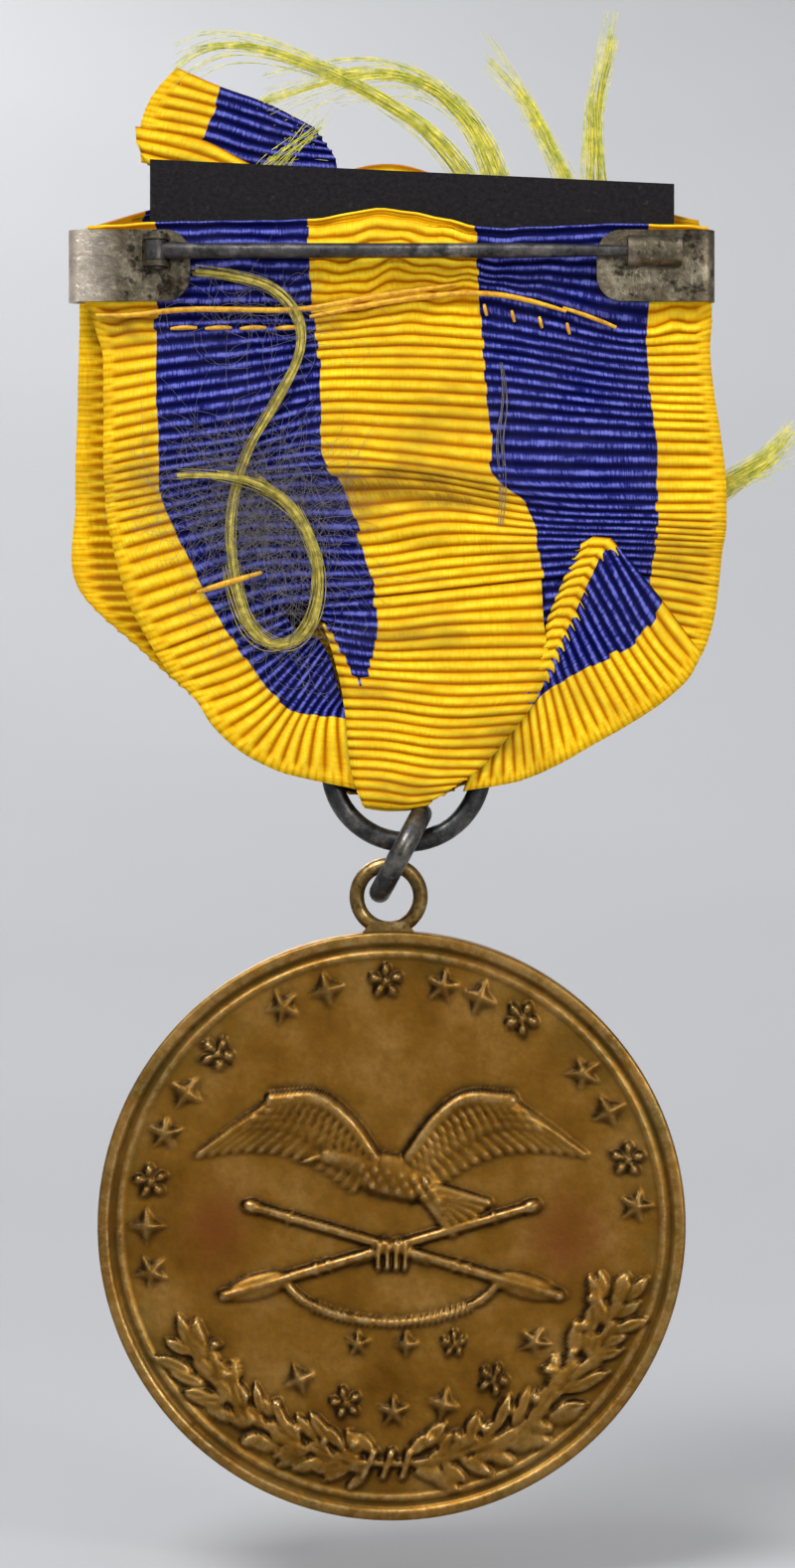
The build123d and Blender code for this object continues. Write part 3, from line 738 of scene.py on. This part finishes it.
# The upper row of stitching has come loose into three long threads.
upper_stitches = [
    [(-16.6, 0.9, -3.5), (-14.8, 0.85, -3.6), (-12.0, 0.85, -3.15), (-8.5, 0.85, -3.2),
     (-5.0, 0.8, -3.25), (-2.2, 0.75, -2.7), (0.8, 0.75, -2.2), (3.6, 0.8, -1.8)],
    [(-4.6, 0.8, -3.6), (-1.6, 0.7, -3.0), (1.6, 0.72, -2.5), (4.8, 0.8, -2.2),
     (7.6, 0.75, -2.6), (9.8, 0.78, -3.3)],
    [(9.6, 0.8, -3.1), (11.2, 0.74, -3.6), (12.6, 0.85, -4.2)],
]
upper = threads("stitch_threads_upper", upper_stitches, 0.17, STITCH_THREAD)
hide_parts("stitch_row_upper")

# The lower row: four long stitches on the left, and four short steep ones on the right.
lower_stitches = []
for k in range(4):
    x = -12.4 + 1.95 * k
    stitch = [(x, 1.0, -4.25), (x + 0.4, 0.84, -4.22), (x + 1.1, 0.84, -4.2), (x + 1.45, 1.0, -4.2)]
    lower_stitches.append(stitch)
for k in range(4):
    x, z = 5.2 + 1.55 * k, -2.9 - 0.35 * k
    lower_stitches.append([(x, 1.0, z), (x + 0.05, 0.85, z - 0.3), (x + 0.15, 1.0, z - 0.6)])
lower = threads("stitch_threads_lower", lower_stitches, 0.14, STITCH_THREAD)
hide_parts("stitch_row_lower")

# A thick slub of gold weft across the left gold-blue edge, and a fine thread lying up the panel.
slub_route = [(-10.9, 0.9, -19.05), (-9.9, 0.66, -18.75), (-8.6, 0.66, -18.35), (-7.3, 0.86, -17.95)]
slub = threads("gold_slub", [slub_route], 0.2, STITCH_THREAD)
lying_route = [
    (6.1, 0.82, -6.2), (6.4, 0.78, -8.2), (6.0, 0.78, -10.4), (6.3, 0.8, -13.0), (6.0, 0.82, -15.4),
]
lying_thread = threads("lying_thread", bundle(lying_route, 5, 0.12, 51), FILAMENT_RADIUS, HAZE_FIBRE)

# The loose thread on the back panel, on the route that its solid has.
loose_route = (
    (-11.0, 0.68, -1.05), (-8.2, 0.68, -1.3), (-5.7, 0.68, -2.5), (-4.7, 0.67, -5.0), (-6.3, 0.68, -8.2),
    (-8.2, 0.69, -11.2), (-9.1, 0.68, -14.8), (-8.9, 0.7, -17.6), (-8.4, 0.68, -20.3), (-6.9, 0.66, -22.2),
    (-5.0, 0.68, -21.8), (-4.0, 0.67, -19.6), (-4.1, 0.65, -16.8), (-5.4, 0.6, -14.3), (-7.4, 0.32, -12.9),
    (-9.8, 0.3, -12.45), (-12.0, 0.62, -12.5),
)
loose = threads("loose_thread_strand", [loose_route], LOOSE_STRAND_RADIUS, OLD_THREAD, taper=False)
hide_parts("loose_thread")


def haze(count, centre, reach, length, seed):
    """Short curling fibres lying on the back panel."""
    rng = random.Random(seed)
    made = []
    for _ in range(count):
        x = centre[0] + rng.gauss(0, reach[0])
        z = centre[1] + rng.gauss(0, reach[1])
        heading = rng.uniform(0, 2 * math.pi)
        turn = rng.gauss(0, 0.5)
        y = rng.uniform(0.55, 0.85)
        strand = [(x, y, z)]
        for _ in range(5):
            heading += turn
            step = length * rng.uniform(0.1, 0.3)
            x += step * math.cos(heading)
            z += step * math.sin(heading)
            strand.append((x, y + rng.uniform(-0.1, 0.05), z))
        made.append(strand)
    return made


wisps = bundle(loose_route, 22, 0.2, 31, 0.2) + bundle(loose_route[7:15], 22, 0.36, 32, 0.4)
wisp_threads = threads("loose_thread_wisps", wisps, FILAMENT_RADIUS, OLD_THREAD)
haze_fibres = (
    haze(420, (-8.0, -13.9), (2.3, 1.5), 4.5, 11)
    + haze(200, (-6.4, -18.2), (1.7, 2.4), 4.0, 12)
    + haze(60, (-7.6, -3.4), (2.4, 1.2), 4.0, 13)
)
fuzz = threads("fibre_haze", haze_fibres, HAZE_RADIUS, HAZE_FIBRE)


# ---------------------------------------------------------------- disc

DISC_CENTRE_Z = -54.6
DISC_MIDDLE_Y = 2.08
DISC_RADIUS = 16.5
FIELD_HALF = 1.2
RIM_HEIGHT = 0.25
RIM_WIDTH = 0.75
FACE_RADIUS = DISC_RADIUS - 0.05
CORNER = 0.12
SLOPE_STEP = 0.09
REVERSE_GRID = 270
OBVERSE_GRID = 135


class Relief:
    """Heights in millimetres over a flat field, built up from simple struck shapes."""

    def __init__(self, across, up):
        self.x, self.z = across, up
        self.height = np.zeros_like(across)

    def raise_to(self, height):
        self.height = np.maximum(self.height, height)

    def beside(self, start, end):
        """How far along the line from start to end each place lies, and how far away from it."""
        dx, dz = end[0] - start[0], end[1] - start[1]
        along = np.clip(((self.x - start[0]) * dx + (self.z - start[1]) * dz) / (dx * dx + dz * dz), 0, 1)
        return along, np.hypot(self.x - start[0] - along * dx, self.z - start[1] - along * dz)

    def turned(self, centre, degrees):
        """Each place measured from a centre, along a direction and across it."""
        turn = math.radians(degrees)
        dx, dz = self.x - centre[0], self.z - centre[1]
        return dx * math.cos(turn) + dz * math.sin(turn), -dx * math.sin(turn) + dz * math.cos(turn)

    def ridge(self, start, end, start_width, end_width, height, end_height=None):
        along, away = self.beside(start, end)
        width = start_width + (end_width - start_width) * along
        top = height + ((height if end_height is None else end_height) - height) * along
        self.raise_to(top * round_top(away / width))

    def path(self, points, start_width, end_width, height):
        widths = np.linspace(start_width, end_width, len(points))
        for k in range(len(points) - 1):
            self.ridge(points[k], points[k + 1], widths[k], widths[k + 1], height)

    def dome(self, centre, half_long, half_wide, degrees, height):
        along, across = self.turned(centre, degrees)
        self.raise_to(height * round_top(along / half_long, across / half_wide))

    def plate(self, outline, height, bevel):
        """A flat-topped shape inside a closed outline, with rounded shoulders."""
        inside = np.zeros(self.x.shape, bool)
        away = np.full(self.x.shape, 99.0)
        for k, (ax, az) in enumerate(outline):
            bx, bz = outline[(k + 1) % len(outline)]
            crosses = (az > self.z) != (bz > self.z)
            inside ^= crosses & (self.x < ax + (bx - ax) * (self.z - az) / (bz - az or 1e-9))
            away = np.minimum(away, self.beside((ax, az), (bx, bz))[1])
        self.raise_to(height * np.sqrt(np.clip(np.where(inside, away, 0) / bevel, 0, 1)))

    def star(self, centre, radius, points, height, degrees, waist):
        """A faceted star, highest at its middle."""
        dx, dz = self.x - centre[0], self.z - centre[1]
        sector = math.pi / points
        angle = np.abs((np.arctan2(dz, dx) - math.radians(degrees) + sector) % (2 * sector) - sector)
        px, pz = radius, 0.0
        qx, qz = waist * radius * math.cos(sector), waist * radius * math.sin(sector)
        across, up = np.hypot(dx, dz) * np.cos(angle), np.hypot(dx, dz) * np.sin(angle)
        edge_x, edge_z = qx - px, qz - pz
        inside = ((across - px) * edge_z - (up - pz) * edge_x) / (-px * edge_z + pz * edge_x)
        self.raise_to(height * np.clip(inside, 0, 1) ** 0.6)

    def leaf(self, base, degrees, length, width, height):
        """A pointed leaf with a groove along its middle."""
        along, across = self.turned(base, degrees)
        across /= width / 2
        outline = np.sin(np.pi * np.clip(along / length, 0, 1)) ** 0.75
        body = round_top(across / (outline + 1e-6)) * (outline > 0.02)
        self.raise_to(height * body * (1 - 0.35 * hump(across, 0.16)))

    def ring(self, centre, radius, width, height):
        away = np.abs(np.hypot(self.x - centre[0], self.z - centre[1]) - radius)
        self.raise_to(height * round_top(away / width))

    def rope(self, points, strands, size, height):
        """A laid rope through points: short slanting strands side by side."""
        spots = hermite(np.linspace(0, 1, len(points)), np.array(points), np.linspace(0, 1, strands + 1))
        for spot, following in zip(spots, spots[1:]):
            heading = math.degrees(math.atan2(*(following - spot)[::-1]))
            self.dome(spot, size, size * 0.5, heading + 52, height)


def at_angle(degrees, radius):
    return radius * math.cos(math.radians(degrees)), radius * math.sin(math.radians(degrees))


def between(a, b, share):
    return a[0] + (b[0] - a[0]) * share, a[1] + (b[1] - a[1]) * share


def along_path(points, share):
    """The place at a share of the way along a list of points, counted by points."""
    at = share * (len(points) - 1)
    k = min(int(at), len(points) - 2)
    return between(points[k], points[k + 1], at - k)


def wing(relief, outline, roots, tips, feathers, height):
    """A wing: a plate with long flight feathers over it, and three rows of scales on their roots."""
    relief.plate(outline, height * 0.55, 0.5)
    for k in range(feathers):
        share = k / (feathers - 1)
        root, tip = along_path(roots, share), along_path(tips, share)
        relief.ridge(root, tip, 0.32, 0.24, height * 0.95, height * 0.62)
        relief.ridge(between(root, tip, 0.35), tip, 0.09, 0.06, height * 1.05, height * 0.75)
    for row, (reach, width, lift) in enumerate(((0.5, 0.3, 1.1), (0.34, 0.28, 1.2), (0.18, 0.26, 1.3))):
        for k in range(feathers):
            share = (k + 0.5 * (row % 2)) / feathers
            root, tip = along_path(roots, share), along_path(tips, share)
            slope = math.degrees(math.atan2(tip[1] - root[1], tip[0] - root[0]))
            relief.dome(between(root, tip, reach), 0.62, width, slope, height * lift)
    relief.path(roots, 0.42, 0.55, height * 1.35)


def rounded(line, side, steps=22):
    """A smooth curve through a line of points, mirrored when side is -1."""
    knots = np.linspace(0, 1, len(line))
    curve = hermite(knots, np.array(line), np.linspace(0, 1, steps))
    return [(side * x, z) for x, z in curve]


def gull(relief):
    """A plain gull gliding to the left, both wings alike."""
    for side in (-1, 1):
        outline = ((0.6, 3.4), (2.0, 5.7), (4.0, 7.3), (6.1, 7.3), (8.6, 6.1), (11.0, 3.9),
                   (8.4, 4.3), (6.0, 4.1), (3.9, 3.1), (2.2, 1.9))
        front = ((1.0, 3.9), (2.4, 5.8), (4.2, 7.1), (6.6, 7.0))
        back = ((2.2, 2.0), (3.8, 3.2), (6.0, 4.1), (8.4, 4.3), (10.8, 4.0))
        outline, front, back = (rounded(line, side) for line in (outline, front, back))
        wing(relief, outline, front, back, 15, 0.34)
    for k in range(6):
        tip = between((5.4, 1.3), (3.4, -0.4), k / 5)
        relief.ridge((1.4, 2.4), tip, 0.42, 0.3, 0.4, 0.3)
        relief.ridge((2.4, 1.8), between((1.4, 2.4), tip, 0.95), 0.08, 0.06, 0.46, 0.36)
    relief.dome((0.1, 2.8), 2.7, 1.25, -14, 0.5)
    for k in range(18):
        column, row = k % 6, k // 6
        spot = (-1.7 + 0.72 * column + 0.3 * row, 3.3 - 0.16 * column - 0.5 * row)
        relief.dome(spot, 0.42, 0.3, -70, 0.58 - 0.02 * row)
    relief.ridge((-1.2, 3.4), (-3.2, 3.9), 0.8, 0.5, 0.48)
    relief.dome((-3.5, 3.95), 0.7, 0.54, 0, 0.5)
    relief.ridge((-4.0, 3.9), (-5.0, 3.6), 0.22, 0.08, 0.36)


def oar(relief, blade_end, grip_end):
    """A plain oar: a round loom, a grip and a blade with a raised middle."""
    slope = math.degrees(math.atan2(blade_end[1] - grip_end[1], blade_end[0] - grip_end[0]))
    neck = between(grip_end, blade_end, 0.78)
    relief.ridge(grip_end, blade_end, 0.3, 0.36, 0.4)
    relief.dome(between(neck, blade_end, 0.5), 2.0, 0.72, slope, 0.36)
    relief.ridge(neck, blade_end, 0.16, 0.1, 0.48)
    relief.dome(grip_end, 0.62, 0.42, slope, 0.46)
    for share in (0.12, 0.66, 0.7):
        spot = between(grip_end, blade_end, share)
        relief.dome(spot, 0.16, 0.46, slope, 0.46)


def legend_relief(across, up):
    """Ornaments that stand where a legend would run round the rim and under the gull."""
    relief = Relief(across, up)
    legend = (190.7, 180, 169.5, 157.8, 147, 135.4, 116.4, 105.3, 91.4, 78, 69, 58, 38.5, 27.8, 15.8, 4.6)
    for k, angle in enumerate(legend):
        ornament(relief, at_angle(angle, 13.75), 1.12, angle, k)
    for k in range(3):
        ornament(relief, (-1.9 + 2.7 * k, -6.6), 0.85, 90, k)
    curved_row = ((-5.2, -8.6), (-2.6, -9.9), (0.1, -10.4), (2.9, -10.0), (5.7, -8.6), (8.0, -6.5))
    for k, spot in enumerate(curved_row):
        ornament(relief, spot, 1.05, math.degrees(math.atan2(spot[1] + 22, spot[0])), k + 1)
    return relief.height


def reverse_relief(across, up):
    relief = Relief(across, up)
    relief.raise_to(legend_relief(across, up))
    gull(relief)
    for side in (-1, 1):
        oar(relief, (side * 9.4, -3.9), (-side * 7.8, 1.1))
    for k in range(4):
        relief.ridge((-0.75 + 0.5 * k, -0.9), (-0.75 + 0.5 * k, -2.3), 0.2, 0.2, 0.5)
    garland = ((-6.2, -2.9), (-4.9, -4.2), (-2.6, -5.1), (0.0, -5.4), (2.6, -5.1), (4.9, -4.2), (6.2, -2.9))
    relief.rope(garland, 46, 0.34, 0.34)
    for side in (-1, 1):
        relief.dome((side * 6.4, -3.1), 0.5, 0.42, 45, 0.42)
    wreath(relief)
    return relief.height


def ornament(relief, spot, size, degrees, kind):
    """A five-pointed star, a four-pointed star or a rosette of five petals, in turn."""
    if kind % 3 == 0:
        relief.star(spot, size, 5, 0.4, degrees, 0.46)
    elif kind % 3 == 1:
        relief.star(spot, size, 4, 0.4, degrees, 0.5)
    else:
        for petal in range(5):
            dx, dz = at_angle(degrees + 72 * petal, 0.55 * size)
            relief.dome((spot[0] + dx, spot[1] + dz), 0.36 * size, 0.26 * size, degrees + 72 * petal, 0.38)
        relief.dome(spot, 0.26 * size, 0.26 * size, 0, 0.42)


def wreath(relief):
    """Two leafy sprays round the foot of the disc, with berries, tied in the middle."""
    rng = random.Random(7)
    for side, reach, steps in ((-1, 54, 15), (1, 68, 19)):
        for k in range(steps):
            angle = 270 + side * (4 + reach * k / (steps - 1))
            grow = angle + side * 90
            for tilt, radius in ((34, 12.9), (-30, 13.6), (4, 13.2)):
                base = at_angle(angle + rng.uniform(-1, 1), radius + rng.uniform(-0.3, 0.3))
                heading = grow + side * (tilt + rng.uniform(-16, 16))
                length, width = rng.uniform(1.5, 2.3), rng.uniform(0.7, 1.05)
                relief.leaf(base, heading, length, width, rng.uniform(0.26, 0.4))
            if k % 2:
                berry = at_angle(angle + side * 2, 12.0 + rng.uniform(-0.2, 0.6))
                relief.dome(berry, 0.36, 0.3, 30 * k, 0.42)
        stem = [at_angle(angle, 13.3) for angle in np.linspace(270, 270 + side * (reach + 6), 24)]
        relief.path(stem, 0.2, 0.12, 0.3)
    for angle in (265.5, 270, 274.5):
        relief.ridge(at_angle(angle, 12.7), at_angle(angle - 2, 14.0), 0.28, 0.24, 0.42)


def obverse_relief(across, up):
    """The show side: a plain compass star in a ring of beads, with laurel round it."""
    relief = Relief(across, up)
    relief.star((0, 0), 8.2, 8, 0.6, 90, 0.36)
    relief.star((0, 0), 5.4, 8, 0.7, 90 + 22.5, 0.4)
    relief.dome((0, 0), 1.5, 1.5, 0, 0.85)
    relief.ring((0, 0), 9.4, 0.3, 0.32)
    for k in range(36):
        relief.dome(at_angle(10 * k, 10.4), 0.42, 0.42, 0, 0.34)
    for side in (-1, 1):
        for k in range(17):
            angle = 270 + side * (6 + 10 * k)
            for tilt in (22, -22):
                relief.leaf(at_angle(angle, 13.1), angle + side * 90 + side * tilt, 2.6, 1.0, 0.4)
    return relief.height


def disc_grid(count):
    """A square grid bent to fill the unit disc."""
    a, b = np.meshgrid(np.linspace(-1, 1, count + 1), np.linspace(-1, 1, count + 1), indexing="ij")
    wide = np.abs(a) > np.abs(b)
    safe_a, safe_b = np.where(a == 0, 1, a), np.where(b == 0, 1, b)
    radius = np.where(wide, a, b)
    angle = np.where(wide, np.pi / 4 * b / safe_a, np.pi / 2 - np.pi / 4 * a / safe_b)
    return np.stack([radius * np.cos(angle), radius * np.sin(angle)])


def blurred(height, passes):
    for _ in range(passes):
        padded = np.pad(height, 1, mode="edge")
        height = (padded[:-2, 1:-1] + padded[2:, 1:-1] + padded[1:-1, :-2] + padded[1:-1, 2:] + height) / 5
    return height


def rim_profile(radius):
    """Field, a fine raised line, and the rim with rounded shoulders."""
    rim = RIM_HEIGHT * np.clip((radius - DISC_RADIUS + RIM_WIDTH) / 0.22, 0, 1) ** 0.7
    rim *= round_top(np.clip(radius - (DISC_RADIUS - 0.3), 0, 0.3) / 0.42)
    line = 0.13 * round_top((radius - 15.25) / 0.17)
    dish = -0.12 * np.clip(1 - radius / 15.1, 0, 1)
    return np.maximum(rim, line) + dish


def face(count, relief_of, mirrored):
    """One struck face: its places, its height, how crisp each place is, and how dark: patina in its hollows
    and painted shade on its up-left slopes.
    """
    across, up = disc_grid(count) * FACE_RADIUS
    radius = np.hypot(across, up)
    shown = -across if mirrored else across
    relief = blurred(relief_of(shown, up), 1)
    height = relief + rim_profile(radius)
    crisp = height - blurred(height, 9)
    # Painted shade: slopes of the relief that face up and to the left are darkened, and their wear is
    # lessened, as if the light came from the right.
    up_left_slope_shade = relief_of(shown + SLOPE_STEP, up - SLOPE_STEP) - relief_of(shown - SLOPE_STEP, up + SLOPE_STEP)
    darkening = np.clip(3.0 * up_left_slope_shade, 0, 1) + 3.5 * np.clip(blurred(relief, 5) - relief, 0, 1)
    return across, up, radius, height, crisp - 0.12 * np.clip(up_left_slope_shade, 0, 0.4), darkening


def perimeter(index):
    return np.concatenate([index[:-1, 0], index[-1, :-1], index[:0:-1, -1], index[0, :0:-1]])


def build_disc():
    """The struck disc: its two faces, and the wall that joins them round the edge."""
    points, faces, rings = [], [], []
    tones = {"wear": [], "patina_and_slope_shade": [], "edge": [], "rust": []}
    base = 0
    for count, relief_of, side in ((REVERSE_GRID, reverse_relief, -1), (OBVERSE_GRID, obverse_relief, 1)):
        across, up, radius, height, crisp, darkening = face(count, relief_of, side > 0)
        depth = DISC_MIDDLE_Y + side * (FIELD_HALF + height)
        points.append(np.stack([across, depth, up + DISC_CENTRE_Z], axis=-1).reshape(-1, 3))
        index = np.arange((count + 1) ** 2).reshape(count + 1, count + 1) + base
        quads = grid_faces(index)
        if side < 0:
            stained = np.clip(6.0 * blurred(legend_relief(across, up), 2), 0, 1)
            crisp *= 1 - 0.6 * stained
            darkening += 0.5 * stained
        else:
            crisp *= 0.6
            quads = quads[:, ::-1]
        faces += quads.tolist()
        rubbed_rim = 0.2 * np.clip((radius - 16.1) / 0.3, 0, 1)
        spots = hump(np.hypot((across + 9.9) / 1.7, (up + 0.3) / 2.2), 1)
        spots += 0.8 * hump(np.hypot((across - 9.8) / 2.0, (up + 0.6) / 2.4), 1)
        tones["wear"].append((np.clip(crisp * 6.0, 0, 0.9) + rubbed_rim).ravel())
        # Patina in the hollows and painted shade on up-left slopes, together as one darkening.
        tones["patina_and_slope_shade"].append(np.clip(-crisp * 8.0 + darkening, 0, 1).ravel())
        tones["edge"].append(np.clip((radius - 12.5) / 3.0, 0, 1).ravel())
        tones["rust"].append((np.clip(spots, 0, 1) * (side < 0)).ravel())
        rings.append(perimeter(index))
        base += (count + 1) ** 2
    # The edge between the faces: rounded corners and a straight wall.
    sides = 4 * REVERSE_GRID
    first = points[0][rings[0]]
    angle = np.arctan2(first[:, 2] - DISC_CENTRE_Z, first[:, 0])
    wall_x, wall_z = DISC_RADIUS * np.cos(angle), DISC_CENTRE_Z + DISC_RADIUS * np.sin(angle)
    corner = FIELD_HALF + rim_profile(FACE_RADIUS) - CORNER
    previous = rings[0]
    for depth in (-corner, -FIELD_HALF / 2, FIELD_HALF / 2, corner):
        points.append(np.stack([wall_x, np.full(sides, DISC_MIDDLE_Y + depth), wall_z], axis=-1))
        index = np.arange(sides) + base
        base += sides
        faces += np.stack([previous, index, np.roll(index, -1), np.roll(previous, -1)], axis=-1).tolist()
        previous = index
        for name, number in (("wear", 0.3), ("patina_and_slope_shade", 0.0), ("edge", 1.0), ("rust", 0.0)):
            tones[name].append(np.full(sides, number))
    for k, coarse in enumerate(rings[1]):
        following = rings[1][(k + 1) % len(rings[1])]
        a, b, c = previous[2 * k], previous[2 * k + 1], previous[(2 * k + 2) % sides]
        faces += [[a, coarse, b], [b, coarse, following], [b, following, c]]
    tones = {name: np.concatenate(numbers) for name, numbers in tones.items()}
    return new_object("medal_disc_struck", np.concatenate(points), faces, BRONZE, **tones)


disc = build_disc()
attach(disc, "medal")
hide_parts("medal_disc")


# ---------------------------------------------------------------- floor, light and camera

FLOOR_REACH = 1600
FLAT_REACH = 150
CURVE_RADIUS = 1500
FLOOR_GAP = 4.0
FLOOR_GRID = 96


def build_floor():
    """A pale dish: flat under the object, and curving gently up into a wall far round it."""
    shader = Shader("floor", Roughness=0.9, Specular_IOR_Level=0.2)
    greys = [(0.3, (0.38, 0.38, 0.385)), (0.7, (0.42, 0.42, 0.425))]
    across, along = disc_grid(FLOOR_GRID) * FLOOR_REACH
    curved = np.clip(np.hypot(across, along) - FLAT_REACH, 0, None)
    rise = CURVE_RADIUS - np.sqrt(CURVE_RADIUS ** 2 - curved ** 2)
    low = DISC_CENTRE_Z - DISC_RADIUS - FLOOR_GAP
    points = np.stack([across, along, low + rise], axis=-1).reshape(-1, 3)
    index = np.arange((FLOOR_GRID + 1) ** 2).reshape(FLOOR_GRID + 1, -1)
    material = shader.finish(shader.ramp(shader.noise(3), greys))
    new_object("floor", points, grid_faces(index), material)


build_floor()


def area_light(name, place, target, size, watts, color=(1, 1, 1)):
    data = bpy.data.lights.new(name, "AREA")
    data.shape = "DISK"
    data.size = size
    data.energy = watts
    data.color = color
    lamp = in_scene(name, data)
    lamp.location = place
    direction = Vector(target) - Vector(place)
    lamp.rotation_euler = direction.to_track_quat("-Z", "Y").to_euler()


TARGET = (0, 0, -0.035)
area_light("key", (0.62, -0.8, 0.12), TARGET, 0.3, 17.0, (1.0, 0.98, 0.95))
area_light("top", (-0.35, -0.6, 0.8), TARGET, 0.5, 10.0, (0.97, 0.98, 1.0))
area_light("back", (-0.3, 0.9, 0.6), TARGET, 0.6, 6)
bpy.context.scene.view_settings.view_transform = "Standard"

world = bpy.data.worlds.new("studio")
world.use_nodes = True
background = world.node_tree.nodes["Background"]
background.inputs[0].default_value = (0.9, 0.93, 1.0, 1.0)
background.inputs[1].default_value = 0.62
bpy.context.scene.world = world

camera_data = bpy.data.cameras.new("camera")
camera_data.lens = 90
camera_data.clip_start = 0.01
camera = in_scene("camera", camera_data)
camera.location = (0.00033, -0.219, -0.0298)
camera.rotation_euler = (math.radians(90), 0, 0)
bpy.context.scene.camera = camera
